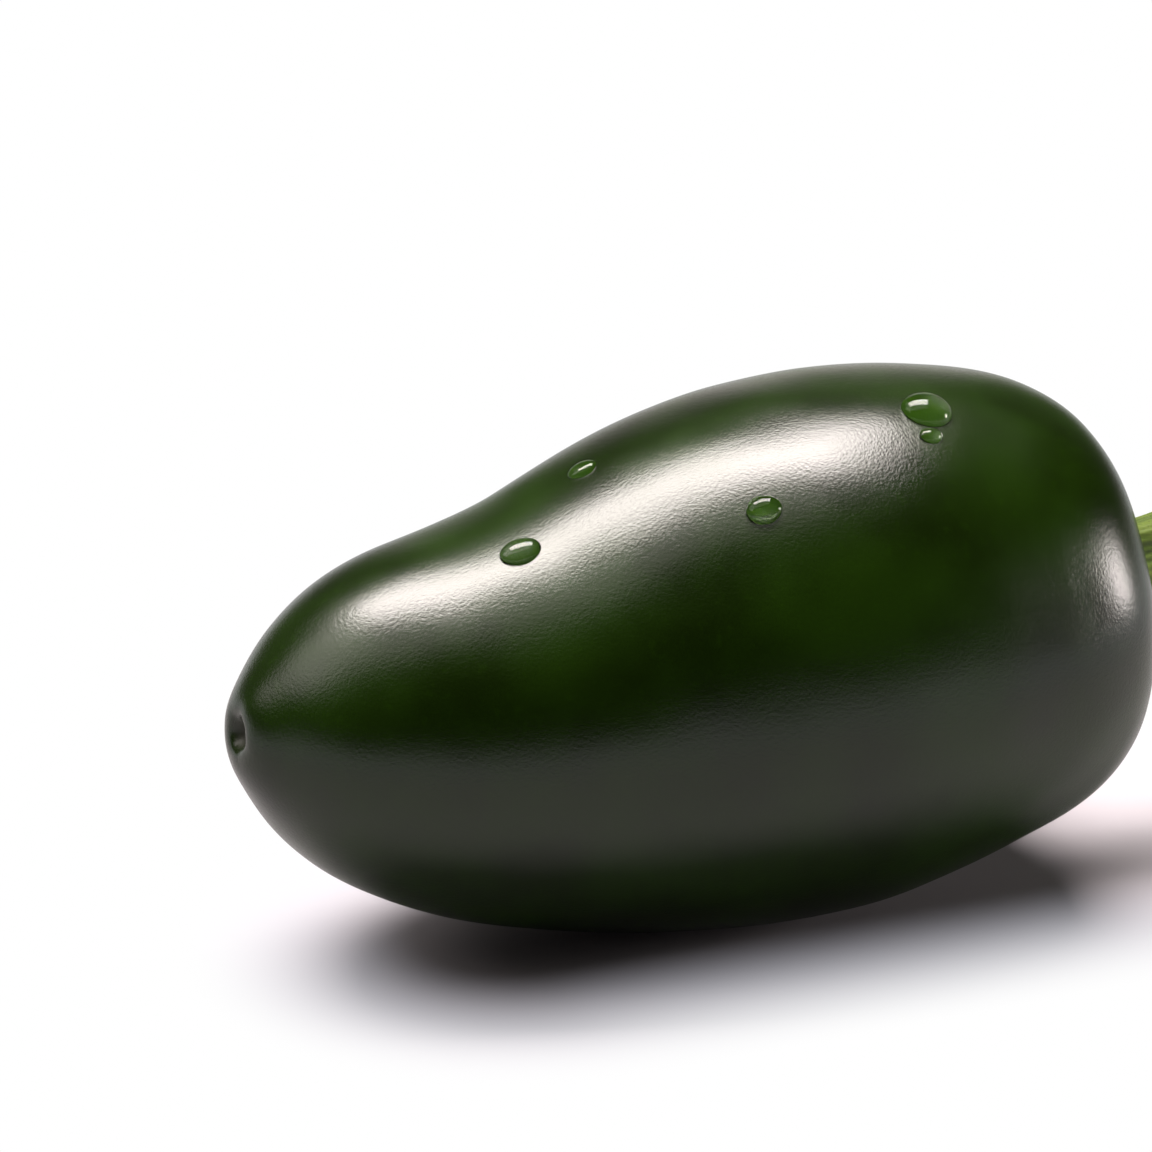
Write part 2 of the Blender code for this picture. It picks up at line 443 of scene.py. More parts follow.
def frame_shift():
    """What carries the pod's own places, in millimetres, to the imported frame."""
    low = np.array(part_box("pod")[0]) / MM
    outline = pod_outline(CAD_STEPS)
    places = pod_places(outline[1:-1, :1], outline[1:-1, 1:], around(CAD_SIDES, 0.5)[None, :])
    near = places[..., :2].min(axis=(0, 1))
    return np.array([low[0] - near[0], low[1] - near[1], -(underside() + PATCH_DEPTH)])


SHIFT = frame_shift()


def to_frame(places):
    """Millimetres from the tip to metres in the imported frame."""
    return (places + SHIFT) * MM


def skin_curve():
    """The outline from the tip's edge to the rim of the hollow at the stem."""
    outline = pod_outline(MEASURE_STEPS)
    return outline[int(np.argmin(outline[:, 0])) : int(np.argmax(outline[:, 0])) + 1]


def hollow_curve():
    """The outline of the hollow at the stem, from its middle to its rim."""
    outline = pod_outline(MEASURE_STEPS)
    return outline[int(np.argmax(outline[:, 0])) :][::-1]


def skin_frame(along, angle):
    """A point of the plain skin, its outward direction and the directions along and around the pod."""
    curve = skin_curve()

    def at(distance, turn):
        radius = np.interp(distance, curve[:, 0], curve[:, 1])
        return pod_places(distance, radius, turn)

    length_way = at(along + MEASURE_ALONG, angle) - at(along - MEASURE_ALONG, angle)
    round_way = at(along, angle + MEASURE_TURN) - at(along, angle - MEASURE_TURN)
    length_way /= np.linalg.norm(length_way)
    round_way /= np.linalg.norm(round_way)
    outward = np.cross(round_way, length_way)
    outward /= np.linalg.norm(outward)
    if outward[2] < 0:
        outward = -outward
    return at(along, angle), outward, length_way, round_way


# ---- meshes


def rings_to_piece(name, rings, first, last):
    """A smooth piece through rings of points in metres, closed on a point at each end."""
    rows, count = rings.shape[:2]
    points = np.vstack([rings.reshape(-1, 3), first, last])
    faces = []
    for row in range(rows - 1):
        base = row * count
        for k in range(count):
            after = (k + 1) % count
            faces.append((base + k, base + after, base + count + after, base + count + k))
    for base, tip in ((0, rows * count), ((rows - 1) * count, rows * count + 1)):
        faces.extend((base + k, base + (k + 1) % count, tip) for k in range(count))
    data = bpy.data.meshes.new(name)
    data.from_pydata(points.tolist(), [], faces)
    shell = bmesh.new()
    shell.from_mesh(data)
    bmesh.ops.recalc_face_normals(shell, faces=shell.faces[:])
    shell.to_mesh(data)
    shell.free()
    data.shade_smooth()
    piece = bpy.data.objects.new(name, data)
    bpy.context.scene.collection.objects.link(piece)
    return piece


def wrap_map(piece, rows, count, shares):
    """The OFBake map of a piece made of rings: across is the way round, up is each ring's share."""
    layer = piece.data.uv_layers.new(name="OFBake")
    tip_first = rows * count
    for face in piece.data.polygons:
        corners = [piece.data.loops[i].vertex_index for i in face.loop_indices]
        turns = {v: (v % count) / count for v in corners if v < tip_first}
        if max(turns.values()) - min(turns.values()) > 0.5:
            turns = {v: turn + 1 if turn < 0.5 else turn for v, turn in turns.items()}
        for loop, vertex in zip(face.loop_indices, corners):
            if vertex < tip_first:
                layer.data[loop].uv = (turns[vertex], shares[vertex // count])
            else:
                end = 0.0 if vertex == tip_first else 1.0
                layer.data[loop].uv = (sum(turns.values()) / len(turns), end)


def ringed_piece(name, rings, first, last):
    """A piece from rings and end points in millimetres from the tip, with even steps in its map."""
    piece = rings_to_piece(name, to_frame(np.array(rings)), to_frame(first), to_frame(last))
    rows, count = len(rings), len(rings[0])
    wrap_map(piece, rows, count, (np.arange(rows) + 1) / (rows + 1))
    return piece


def seat(piece, node):
    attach(piece, BODY)
    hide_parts(node)


# ---- material nodes

VECTOR = "NodeSocketVector"
NUMBER = "NodeSocketFloat"


def new_material(name):
    material = bpy.data.materials.new(name)
    material.use_nodes = True
    tree = material.node_tree
    return material, tree, tree.nodes["Principled BSDF"]


def add(tree, kind, **values):
    """A node with its plain settings in lower case and its sockets in capitals, underscores for spaces."""
    node = tree.nodes.new(kind)
    for key, value in values.items():
        if key[0].isupper():
            node.inputs[key.replace("_", " ")].default_value = value
        else:
            setattr(node, key, value)
    return node


def calculate(tree, operation, second=None, **values):
    """A step of arithmetic, its second number fixed where it is given."""
    node = add(tree, "ShaderNodeMath", operation=operation, **values)
    if second is not None:
        node.inputs[1].default_value = second
    return node


def smooth_range(tree, low, high, start=0.0, end=1.0):
    """A value that turns softly from start to end between two limits."""
    node = add(tree, "ShaderNodeMapRange", From_Min=low, From_Max=high, To_Min=start, To_Max=end)
    node.interpolation_type = "SMOOTHSTEP"
    return node


def mix_colours(tree, first=None, second=None):
    """A mix of two colours; one that isn't given is linked."""
    node = add(tree, "ShaderNodeMix", data_type="RGBA")
    for socket, colour in (("A", first), ("B", second)):
        if colour is not None:
            node.inputs[socket].default_value = (*colour, 1.0)
    return node


def join(tree, *links):
    for source, out, target, into in links:
        tree.links.new(source.outputs[out], target.inputs[into])


def new_group(name, inputs, outputs):
    group = bpy.data.node_groups.new(name, "ShaderNodeTree")
    for label, kind, value in inputs:
        socket = group.interface.new_socket(name=label, in_out="INPUT", socket_type=kind)
        if value is not None:
            socket.default_value = value
    for label, kind in outputs:
        group.interface.new_socket(name=label, in_out="OUTPUT", socket_type=kind)
    return group, group.nodes.new("NodeGroupInput"), group.nodes.new("NodeGroupOutput")


def plant_mottle():
    """Soft patches and small specks, as colour varies over anything that grew."""
    name = "plant mottle"
    if name in bpy.data.node_groups:
        return bpy.data.node_groups[name]
    group, given, result = new_group(
        name,
        (
            ("Vector", VECTOR, None),
            ("Patch Scale", NUMBER, 90.0),
            ("Speck Scale", NUMBER, 1200.0),
        ),
        (("Patches", NUMBER), ("Specks", NUMBER)),
    )
    patches = add(group, "ShaderNodeTexNoise", Detail=3.0, Roughness=0.55)
    specks = add(group, "ShaderNodeTexNoise", Detail=2.0, Roughness=0.5)
    spread = smooth_range(group, 0.28, 0.72)
    sparse = smooth_range(group, 0.56, 0.74)
    join(
        group,
        (given, "Vector", patches, "Vector"),
        (given, "Patch Scale", patches, "Scale"),
        (given, "Vector", specks, "Vector"),
        (given, "Speck Scale", specks, "Scale"),
        (patches, "Fac", spread, "Value"),
        (specks, "Fac", sparse, "Value"),
        (spread, "Result", result, "Patches"),
        (sparse, "Result", result, "Specks"),
    )
    return group


def plant_ripple():
    """A fine waxy ripple, drawn out across or along by the scale of each axis."""
    name = "plant ripple"
    if name in bpy.data.node_groups:
        return bpy.data.node_groups[name]
    group, given, result = new_group(
        name,
        (
            ("Vector", VECTOR, None),
            ("Stretch", VECTOR, (1.0, 1.0, 1.0)),
            ("Scale", NUMBER, 2500.0),
            ("Coarse Share", NUMBER, 0.5),
        ),
        (("Height", NUMBER),),
    )
    stretch = add(group, "ShaderNodeVectorMath", operation="MULTIPLY")
    fine = add(group, "ShaderNodeTexNoise", Detail=3.0, Roughness=0.65)
    slower = calculate(group, "MULTIPLY", COARSE_RIPPLE)
    coarse = add(group, "ShaderNodeTexNoise", Detail=2.0, Roughness=0.5)
    blend = add(group, "ShaderNodeMix")
    join(
        group,
        (given, "Vector", stretch, 0),
        (given, "Stretch", stretch, 1),
        (stretch, "Vector", fine, "Vector"),
        (given, "Scale", fine, "Scale"),
        (given, "Scale", slower, 0),
        (slower, 0, coarse, "Scale"),
        (stretch, "Vector", coarse, "Vector"),
        (given, "Coarse Share", blend, "Factor"),
        (fine, "Fac", blend, "A"),
        (coarse, "Fac", blend, "B"),
        (blend, "Result", result, "Height"),
    )
    return group


def place_group(tree, group, **values):
    node = tree.nodes.new("ShaderNodeGroup")
    node.node_tree = group
    for key, value in values.items():
        node.inputs[key.replace("_", " ")].default_value = value
    return node


def add_specks(tree, mottle, base, colour, strength):
    """Small specks of a colour over the base; strength is how far they cover it."""
    specked = mix_colours(tree, second=colour)
    faint = calculate(tree, "MULTIPLY", strength)
    join(tree, (base, "Result", specked, "A"), (mottle, "Specks", faint, 0), (faint, 0, specked, "Factor"))
    return specked


def wet_mask(tree, place):
    """One under each drop of water and nought on dry skin."""
    mask = None
    for _, along, degrees, length, width, *_ in DROPS:
        centre = skin_frame(along, math.radians(degrees))[0]
        away = add(tree, "ShaderNodeVectorMath", operation="DISTANCE")
        away.inputs[1].default_value = to_frame(centre)
        spot = calculate(tree, "LESS_THAN", (length + width) / 4 * MM)
        join(tree, (place, "Object", away, 0), (away, "Value", spot, 0))
        if mask is None:
            mask = spot
            continue
        either = calculate(tree, "MAXIMUM")
        join(tree, (mask, 0, either, 0), (spot, 0, either, 1))
        mask = either
    return mask


def skin_material(settings):
    """Dark glossy skin: two greens in patches, faint specks, a dull scar, a fine ripple, and under each drop
    less gloss and a painted lighter green that stands in for light the drop focuses onto it.
    """
    material, tree, shader = new_material("pepper skin")
    shader.inputs["IOR"].default_value = 1.5
    place = add(tree, "ShaderNodeTexCoord")
    wet = wet_mask(tree, place)
    matched = add(tree, "ShaderNodeMapRange", To_Min=DRY_GLOSS, To_Max=WET_GLOSS)
    # painted light: under each drop the skin is mixed to a lighter green, standing in for light that the drop
    # focuses onto it
    lit = mix_colours(tree, second=settings.painted_drop_light)
    mottle = place_group(tree, plant_mottle(), Patch_Scale=70.0, Speck_Scale=1400.0)
    ripple = place_group(tree, plant_ripple(), Stretch=(1.05, 0.95, 0.95), Scale=4200.0, Coarse_Share=0.06)
    greens = mix_colours(tree, settings.deep_green, settings.leaf_green)
    specked = add_specks(tree, mottle, greens, [c * SKIN_SPECK for c in settings.leaf_green], strength=0.12)
    scar = add(tree, "ShaderNodeAttribute", attribute_name="scar")
    scarred = mix_colours(tree, second=settings.scar)
    gloss = add(tree, "ShaderNodeMapRange", To_Min=0.19, To_Max=0.24)
    dull = add(tree, "ShaderNodeMix")
    dull.inputs["B"].default_value = SCAR_ROUGHNESS
    bump = add(tree, "ShaderNodeBump", Strength=1.0, Distance=settings.ripple)
    join(
        tree,
        (place, "Object", mottle, "Vector"),
        (place, "Object", ripple, "Vector"),
        (mottle, "Patches", greens, "Factor"),
        (specked, "Result", scarred, "A"),
        (scar, "Fac", scarred, "Factor"),
        (scarred, "Result", lit, "A"),
        (wet, 0, lit, "Factor"),
        (lit, "Result", shader, "Base Color"),
        (wet, 0, matched, "Value"),
        (matched, "Result", shader, "Specular IOR Level"),
        (mottle, "Patches", gloss, "Value"),
        (gloss, "Result", dull, "A"),
        (scar, "Fac", dull, "Factor"),
        (dull, "Result", shader, "Roughness"),
        (ripple, "Height", bump, "Height"),
        (bump, "Normal", shader, "Normal"),
    )
    return material


def fibre_material(name, green, pale, stretch, scale, depth, cut=None):
    """Matt plant tissue: pale ridges and fibres on green, mottling and, where given, a dry cut colour."""
    material, tree, shader = new_material(name)
    shader.inputs["IOR"].default_value = 1.45
    shader.inputs["Specular IOR Level"].default_value = 0.3
    place = add(tree, "ShaderNodeTexCoord")
    mottle = place_group(tree, plant_mottle(), Patch_Scale=260.0, Speck_Scale=2600.0)
    ripple = place_group(tree, plant_ripple(), Stretch=stretch, Scale=scale, Coarse_Share=0.4)
    ridge = add(tree, "ShaderNodeAttribute", attribute_name="ridge")
    shade = calculate(tree, "MULTIPLY_ADD", RIDGE_SHARE, use_clamp=True)
    fibres = add(tree, "ShaderNodeMapRange", From_Min=0.3, From_Max=0.7, To_Min=-0.25, To_Max=0.45)
    greens = mix_colours(tree, green, pale)
    tissue = add_specks(tree, mottle, greens, [c * FIBRE_SPECK for c in green], strength=0.5)
    gloss = add(tree, "ShaderNodeMapRange", To_Min=0.42, To_Max=0.62)
    bump = add(tree, "ShaderNodeBump", Strength=1.0, Distance=depth)
    join(
        tree,
        (place, "Object", mottle, "Vector"),
        (place, "Object", ripple, "Vector"),
        (ripple, "Height", fibres, "Value"),
        (ridge, "Fac", shade, 0),
        (fibres, "Result", shade, 2),
        (shade, 0, greens, "Factor"),
        (mottle, "Patches", gloss, "Value"),
        (gloss, "Result", shader, "Roughness"),
        (ripple, "Height", bump, "Height"),
        (bump, "Normal", shader, "Normal"),
    )
    if cut is not None:
        mask = add(tree, "ShaderNodeAttribute", attribute_name="cut")
        ends = mix_colours(tree, second=cut)
        join(tree, (tissue, "Result", ends, "A"), (mask, "Fac", ends, "Factor"))
        tissue = ends
    join(tree, (tissue, "Result", shader, "Base Color"))
    return material


def water_material(settings):
    material, tree, shader = new_material("water")
    shader.inputs["Base Color"].default_value = (*WHITE, 1.0)
    shader.inputs["Transmission Weight"].default_value = 1.0
    shader.inputs["IOR"].default_value = settings.refraction
    shader.inputs["Specular IOR Level"].default_value = 1.0
    place = add(tree, "ShaderNodeTexCoord")
    film = place_group(tree, plant_mottle(), Patch_Scale=500.0, Speck_Scale=3000.0)
    clean = add(tree, "ShaderNodeMapRange", To_Min=0.0, To_Max=0.02)
    join(
        tree,
        (place, "Object", film, "Vector"),
        (film, "Patches", clean, "Value"),
        (clean, "Result", shader, "Roughness"),
    )
    return material


def store(piece, name, values):
    attribute = piece.data.attributes.new(name, "FLOAT", "POINT")
    attribute.data.foreach_set("value", np.asarray(values, np.float32))


# ---- pieces


def swell_heights(places, settings):
    """Height of the slow swells at each place, in millimetres, from two layers of fixed noise."""
    points = [Vector(place) for place in places.reshape(-1, 3) / (settings.swell_size / MM)]
    heights = [noise.noise(p) + SWELL_SHARE * noise.noise(p * SWELL_FINENESS + SWELL_START) for p in points]
    return np.array(heights).reshape(places.shape[:2]) * settings.swell / MM


def grid_normals(grid):
    down = np.gradient(grid, axis=0)
    across = np.roll(grid, -1, axis=1) - np.roll(grid, 1, axis=1)
    normals = np.cross(down, across)
    length = np.linalg.norm(normals, axis=-1, keepdims=True)
    return normals / np.maximum(length, 1e-9)


def pod_grid(settings):
    """The skin's points in millimetres from the tip, with the slow swells and the folds at both ends."""
    outline = pod_outline(settings.rings)[1:-1]
    along = np.repeat(outline[:, :1], settings.sides, axis=1)
    radius = np.repeat(outline[:, 1:], settings.sides, axis=1)
    turn = np.repeat((around(settings.sides) - math.pi / 2)[None, :], len(outline), axis=0)
    rim = int(np.argmax(outline[:, 0]))
    row = np.arange(len(outline))[:, None]

    # puckers that run out of the blossom pit
    near_pit = (1 - smooth_step(*PUCKER_FADE, radius)) * smooth_step(*PUCKER_RISE, radius)
    near_pit = near_pit * (along < POD_LENGTH / 2)
    for count, height, start in PUCKER_WAVES:
        along = along + height * near_pit * np.cos(count * turn + start)

    # folds of the shoulder, between the calyx's points
    fold = smooth_step(*FOLD_RISE, radius) * (1 - smooth_step(*FOLD_FADE, radius)) * (along > POD_LENGTH / 2)
    fold = np.where(row > rim, smooth_step(*FOLD_HOLLOW_RISE, radius), fold)
    along = along - FOLD_DEPTH * fold * peaks(turn, 2)

    grid = pod_places(along, radius, turn)
    outward = grid_normals(grid)
    middle = np.array([POD_LENGTH / 2, 0.0, axis_at(POD_LENGTH / 2)[1]])
    if np.sum(outward * (grid - middle)) < 0:
        outward = -outward
    calm = smooth_step(*SWELL_RISE, radius)
    grid = grid + outward * (swell_heights(grid, settings) * calm)[..., None]

    # the underside presses flat on the surface, with a soft edge
    floor = underside() + PATCH_DEPTH
    lift = grid[..., 2] - floor
    grid[..., 2] = floor + 0.5 * (lift + np.sqrt(lift**2 + PATCH_SOFTNESS**2))
    return grid, outline, radius


def build_pod(settings):
    grid, outline, radius = pod_grid(settings)
    rings = to_frame(grid)
    rings[..., 2] -= rings[..., 2].min()
    first, last = (to_frame(pod_places(*end, 0.0)) for end in (POD_OUTLINE[0], POD_OUTLINE[-1]))
    piece = rings_to_piece("pepper_pod", rings, first, last)
    steps = np.linalg.norm(np.diff(outline, axis=0), axis=1)
    skin = np.concatenate([[0.0], np.cumsum(steps)])
    margin = steps[0]
    wrap_map(piece, len(rings), settings.sides, (skin + margin) / (skin[-1] + 2 * margin))
    front = (outline[:, 0] < POD_LENGTH / 2)[:, None]
    scar = (1 - smooth_step(*SCAR_FADE, radius)) * front
    store(piece, "scar", np.concatenate([scar.ravel(), [1.0, 0.0]]))
    piece.data.materials.append(skin_material(settings))
    seat(piece, "pod")


def calyx_reach(angle, settings):
    """The rim: five short points that curve out from a round cap, no two the same."""
    base = settings.radius / MM
    point = settings.point / MM
    uneven = 1 + CALYX_UNEVENNESS * np.sin(2 * angle + 0.7)
    wave = sum(height * np.sin(count * angle + start) for count, height, start in CALYX_RIM_WAVES)
    return base - CALYX_DIP + (point + CALYX_DIP) * peaks(angle, 3) * uneven + wave


def build_calyx(settings):
    """A thin cap that lines the pod's hollow: its underside, its lip, then its ribbed top."""
    curve = hollow_curve()
    angle = around(CALYX_SIDES)
    reach = calyx_reach(angle, settings)
    shares = np.linspace(CALYX_CENTRE, 1.0, CALYX_RINGS)
    crown = settings.crown / MM
    veins, vein_height, vein_start = CALYX_VEINS
    rings = []
    ridges = []

    def add_ring(share, rise, ridge):
        radius = reach * share
        rings.append(pod_places(np.interp(radius, curve[:, 1], curve[:, 0]) + rise, radius, angle))
        ridges.append(np.full(CALYX_SIDES, ridge))

    for share in shares:
        add_ring(share, -CALYX_SUNK, CALYX_PALENESS[0])
    for lift in CALYX_LIP_LIFTS:
        add_ring(CALYX_LIP, lift, CALYX_PALENESS[1])
    for share in shares[::-1]:
        rib = CALYX_RIB * peaks(angle, 4) * smooth_step(0.15, 0.5, share)
        vein = vein_height * np.cos(veins * angle + vein_start) * smooth_step(0.2, 0.6, share)
        body = CALYX_EDGE + (crown - CALYX_EDGE) * (1 - share**2) ** 1.4
        ridge = np.clip(rib * 4 + 0.5 * smooth_step(0.8, 1.0, share) + vein * 4, 0, 1)
        add_ring(share, body + (rib + vein) * (1 - 0.5 * share), ridge)
    base = pod_places(curve[0, 0] - CALYX_SUNK, 0.0, 0.0)
    top = pod_places(curve[0, 0] + crown, 0.0, 0.0)
    piece = ringed_piece("pepper_calyx", rings, base, top)
    store(piece, "ridge", np.concatenate([np.concatenate(ridges), [0.3, 0.3]]))
    material = fibre_material(
        "calyx flesh", settings.green, settings.pale, stretch=(0.6, 1.0, 1.0), scale=1500.0, depth=0.00007
    )
    piece.data.materials.append(material)
    seat(piece, "calyx")


def stem_centres(count):
    route = smooth_curve(STEM_ROUTE, 40)
    position = np.linspace(0, len(route) - 1, count)
    index = np.arange(len(route))
    along, aside, above = (np.interp(position, index, route[:, k]) for k in range(3))
    over = np.maximum(along - POD_LENGTH, 0.0)
    axis_aside, height, swing, rise = axis_at(np.minimum(along, POD_LENGTH))
    return np.stack([along, axis_aside + over * swing + aside, height + over * rise + above], axis=-1)


def build_stem(settings):
    """Rings along the stem's route, with five ridges that twist, then the sunken face of the cut end."""
    outline = smooth_curve(STEM_OUTLINE, 20)
    centres = stem_centres(settings.rings)
    ahead = np.gradient(centres, axis=0)
    ahead /= np.linalg.norm(ahead, axis=1, keepdims=True)
    side = np.cross(ahead, (0.0, 0.0, 1.0))
    side /= np.linalg.norm(side, axis=1, keepdims=True)
    over = np.cross(side, ahead)
    angle = around(settings.sides)
    grooves, groove_depth = STEM_GROOVES
    bends, bend = STEM_GROOVE_WANDER
    lumps, lump_height, lump_run = STEM_LUMPS
    rings = []
    ridges = []
    for k, share in enumerate(np.linspace(0, 1, settings.rings)):
        radius = np.interp(share, outline[:, 0], outline[:, 1])
        twisted = angle + STEM_TWIST * share
        crest = np.cos(STEM_RIDGES * twisted)
        sharp = np.sign(crest) * np.abs(crest) ** STEM_CREST_POWER
        groove = groove_depth * np.cos(grooves * twisted + bend * math.sin(bends * share))
        lump = lump_height * np.sin(lump_run * share + lumps * angle)
        reach = radius + settings.ridge / MM * sharp + groove + lump
        sideways = side[k] * (reach * np.cos(angle))[:, None]
        upwards = over[k] * (reach * np.sin(angle))[:, None]
        rings.append(centres[k] + sideways + upwards)
        ridges.append(0.5 + 0.4 * crest + 2.0 * groove)
    cut = [np.zeros(settings.sides)] * len(rings)
    end, way = centres[-1], ahead[-1]
    outer = rings[-1] - end
    for share, sink in STEM_CUT:
        uneven = sum(height * np.cos(count * angle + run * share) for count, height, run in STEM_CUT_WAVES)
        rings.append(end + outer * share - way * (sink + uneven * share)[:, None])
        ridges.append(np.full(settings.sides, 0.5))
        cut.append(np.full(settings.sides, 1.0 if share < STEM_BARK else STEM_BARK_CUT))
    piece = ringed_piece("pepper_stem", rings, centres[0], end - way * STEM_CUT_MIDDLE)
    store(piece, "ridge", np.concatenate([np.concatenate(ridges), [0.5, 0.5]]))
    store(piece, "cut", np.concatenate([np.concatenate(cut), [0.0, 1.0]]))
    material = fibre_material(
        "stem fibre",
        settings.green,
        settings.pale,
        stretch=(0.25, 1.0, 1.0),
        scale=2200.0,
        depth=0.00009,
        cut=settings.cut,
    )
    piece.data.materials.append(material)
    seat(piece, "stem")


def build_drop(node, along, degrees, length, width, height, sag, settings, pod_settings, material):
    """A drop of water: a steep-sided dome whose foot lies just inside the skin and follows it."""
    place, outward, length_way, round_way = skin_frame(along, math.radians(degrees))
    place = place + outward * swell_heights(place[None, None], pod_settings)[0, 0]
    sunk = outward * (settings.sunk / MM)
    angle = around(DROP_SIDES)
    downhill = -round_way if round_way[2] > 0 else round_way
    rings = []
    for lift in np.linspace(0, DROP_LAST_RING, DROP_RINGS):
        high = math.sin(lift * math.pi / 2)
        wide = (1 - high**DROP_ROUNDNESS) ** 0.5
        flat = length_way * (np.cos(angle) * length / 2 * wide)[:, None]
        flat = flat + round_way * (np.sin(angle) * width / 2 * wide)[:, None]
        lean = downhill * sag * width * (DROP_SAG_TURN - high)
        fall = (flat @ round_way) ** 2 / (2 * POD_RADIUS) * (1 - high)
        rings.append(place + flat + lean + outward * (height * high) - outward * fall[:, None])
    foot = [place + (rings[0] - place) * share - sunk for share in DROP_FOOT]
    top = place + outward * height + downhill * sag * width * (DROP_SAG_TURN - 1.0)
    piece = ringed_piece("water_" + node, foot + rings, place - sunk, top)
    piece.data.materials.append(material)
    seat(piece, node)


# ---- stage


def pod_point(shares):
    low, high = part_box("pod")
    return Vector([low[i] + (high[i] - low[i]) * shares[i] for i in range(3)])


def build_floor(settings):
    """A pale surface that turns to plain white away from the pepper; for the camera its shade round the pod
    is partly painted, by a bluish glow that lifts it and ends it at a set distance from the pod's line.
    """
    data = bpy.data.meshes.new("floor")
    corners = [(FLOOR_HALF * x, FLOOR_HALF * y, 0) for x, y in ((-1, -1), (1, -1), (1, 1), (-1, 1))]
    data.from_pydata(corners, [], [(0, 1, 2, 3)])
    floor = bpy.data.objects.new("floor", data)
    bpy.context.scene.collection.objects.link(floor)
    material, tree, shader = new_material("pale surface")
    shader.inputs["Roughness"].default_value = 0.7
    shader.inputs["Specular IOR Level"].default_value = 0.2
    output = tree.nodes["Material Output"]
    place = add(tree, "ShaderNodeTexCoord")
    far = add(tree, "ShaderNodeVectorMath", operation="LENGTH")
    wide = smooth_range(tree, *FAR_FADE)
    wide.interpolation_type = "SMOOTHERSTEP"
    # the distance from the line the pod lies along, which sets where the painted shade ends
    split = add(tree, "ShaderNodeSeparateXYZ")
    centred = calculate(tree, "SUBTRACT", settings.shade_middle)
    beside = calculate(tree, "ABSOLUTE")
    beyond = calculate(tree, "SUBTRACT", settings.shade_length / 2)
    outside = calculate(tree, "MAXIMUM", 0.0)
    joined = add(tree, "ShaderNodeCombineXYZ")
    away = add(tree, "ShaderNodeVectorMath", operation="LENGTH")
    close = smooth_range(tree, *NEAR_FADE)
    seen = add(tree, "ShaderNodeLightPath")
    fade = add(tree, "ShaderNodeMix")
    surface = mix_colours(tree, settings.floor_mirrored, settings.floor)
    # painted shade: the glow's bluish tint in the fading shade round the pod
    painted_shade_tint = mix_colours(tree, SHADE_TINT, WHITE)
    glow = add(tree, "ShaderNodeEmission")
    strength = add(tree, "ShaderNodeMapRange", To_Min=settings.table_glow, To_Max=1.0)
    blend = add(tree, "ShaderNodeMixShader")
    join(
        tree,
        (place, "Object", far, 0),
        (far, "Value", wide, "Value"),
        (place, "Object", split, "Vector"),
        (split, "X", centred, 0),
        (centred, 0, beside, 0),
        (beside, 0, beyond, 0),
        (beyond, 0, outside, 0),
        (outside, 0, joined, "X"),
        (split, "Y", joined, "Y"),
        (joined, "Vector", away, 0),
        (away, "Value", close, "Value"),
        (seen, "Is Camera Ray", surface, "Factor"),
        (surface, "Result", shader, "Base Color"),
        (seen, "Is Camera Ray", fade, "Factor"),
        (wide, "Result", fade, "A"),
        (close, "Result", fade, "B"),
        (fade, "Result", painted_shade_tint, "Factor"),
        (painted_shade_tint, "Result", glow, "Color"),
        (seen, "Is Camera Ray", strength, "Value"),
        (strength, "Result", glow, "Strength"),
        (fade, "Result", blend, 0),
        (shader, "BSDF", blend, 1),
        (glow, "Emission", blend, 2),
        (blend, "Shader", output, "Surface"),
    )
    data.materials.append(material)


def window_directions(lean_x, lean_y, turn):
    """A window's own direction and the directions of its width and height."""
    tilt = math.radians(math.hypot(lean_x, lean_y))
    way = math.atan2(lean_y, lean_x)
    centre = Vector((math.sin(tilt) * math.cos(way), math.sin(tilt) * math.sin(way), math.cos(tilt)))
    across = Vector((0.0, 1.0, 0.0)).cross(centre).normalized()
    over = centre.cross(across)
    turn = math.radians(turn)
    wide = across * math.cos(turn) + over * math.sin(turn)
    tall = over * math.cos(turn) - across * math.sin(turn)
    return centre, wide, tall


def soft_window():
    """A bright rectangle with soft edges, seen in one direction."""
    inputs = [(label, VECTOR, (0.0, 0.0, 1.0)) for label in ("Vector", "Centre", "Across", "Over")]
    inputs += [(label, NUMBER, 0.1) for label in ("Width", "Height", "Softness", "Brightness")]
    group, given, result = new_group("soft window", inputs, (("Light", NUMBER),))
    ahead = add(group, "ShaderNodeVectorMath", operation="DOT_PRODUCT")
    facing = calculate(group, "GREATER_THAN", WINDOW_SIGHT)
    join(group, (given, "Vector", ahead, 0), (given, "Centre", ahead, 1), (ahead, "Value", facing, 0))
    product = facing
    for direction, size in (("Across", "Width"), ("Over", "Height")):
        part = add(group, "ShaderNodeVectorMath", operation="DOT_PRODUCT")
        plane = calculate(group, "DIVIDE")
        offset = calculate(group, "ABSOLUTE")
        inner = calculate(group, "SUBTRACT")
        outer = calculate(group, "ADD")
        edge = smooth_range(group, 0.0, 1.0, 1.0, 0.0)
        both = calculate(group, "MULTIPLY")
        join(
            group,
            (given, "Vector", part, 0),
            (given, direction, part, 1),
            (part, "Value", plane, 0),
            (ahead, "Value", plane, 1),
            (plane, 0, offset, 0),
            (given, size, inner, 0),
            (given, "Softness", inner, 1),
            (given, size, outer, 0),
            (given, "Softness", outer, 1),
            (offset, 0, edge, "Value"),
            (inner, 0, edge, "From Min"),
            (outer, 0, edge, "From Max"),
            (product, 0, both, 0),
            (edge, "Result", both, 1),
        )
        product = both
    light = calculate(group, "MULTIPLY")
    join(group, (product, 0, light, 0), (given, "Brightness", light, 1), (light, 0, result, "Light"))
    return group


